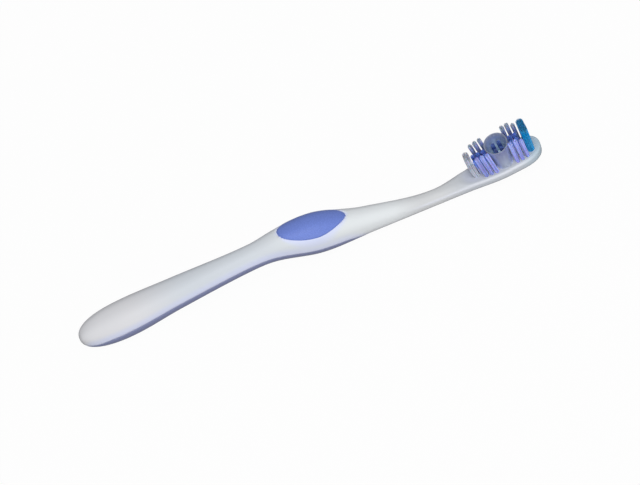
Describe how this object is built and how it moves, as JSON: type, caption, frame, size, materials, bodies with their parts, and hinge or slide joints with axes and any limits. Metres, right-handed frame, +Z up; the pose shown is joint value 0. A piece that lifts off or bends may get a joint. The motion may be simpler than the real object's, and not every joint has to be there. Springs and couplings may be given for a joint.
{
  "type": "toothbrush",
  "caption": "Manual toothbrush with a curved two-part grip handle, an oval thumb pad and an oval head whose bristle tufts stand round a soft polishing cup.",
  "frame": {"origin": "middle of the brush's length and width, on the surface that it lies on", "axes": "+X along the brush from the butt toward the toe of the head, +Y across it, +Z up, the way the bristles point"},
  "size_m": [0.19, 0.0152, 0.0212],
  "materials": {
    "pearl_plastic": "pearl gloss",
    "violet_elastomer": "fine stipple",
    "clear_elastomer": "milky, satin",
    "lavender_nylon": "satin",
    "navy_nylon": "satin",
    "white_nylon": "satin",
    "blue_nylon": "satin",
    "anchor_metal": "plain"
  },
  "bodies": {
    "root": {"handle_body": "pearl_plastic", "thumb_pad": "violet_elastomer", "back_grip": "violet_elastomer", "polishing_cup": "clear_elastomer", "tuft_anchors": "anchor_metal", "tuft_outer_heel_near_1": "lavender_nylon", "tuft_outer_heel_near_2": "lavender_nylon", "tuft_outer_heel_near_3": "lavender_nylon", "tuft_outer_heel_far_1": "lavender_nylon", "tuft_outer_heel_far_2": "lavender_nylon", "tuft_outer_heel_far_3": "lavender_nylon", "tuft_outer_toe_near_1": "lavender_nylon", "tuft_outer_toe_near_2": "lavender_nylon", "tuft_outer_toe_near_3": "lavender_nylon", "tuft_outer_toe_far_1": "lavender_nylon", "tuft_outer_toe_far_2": "lavender_nylon", "tuft_outer_toe_far_3": "lavender_nylon", "tuft_inner_heel_near_1": "navy_nylon", "tuft_inner_heel_near_2": "navy_nylon", "tuft_inner_heel_near_3": "navy_nylon", "tuft_inner_heel_far_1": "navy_nylon", "tuft_inner_heel_far_2": "navy_nylon", "tuft_inner_heel_far_3": "navy_nylon", "tuft_inner_toe_near_1": "navy_nylon", "tuft_inner_toe_near_2": "navy_nylon", "tuft_inner_toe_far_1": "navy_nylon", "tuft_inner_toe_far_2": "navy_nylon", "tuft_cup_near_1": "navy_nylon", "tuft_cup_near_2": "navy_nylon", "tuft_cup_far_1": "navy_nylon", "tuft_cup_far_2": "navy_nylon", "tuft_heel": "white_nylon", "tuft_toe": "blue_nylon"}
  },
  "joints": []
}
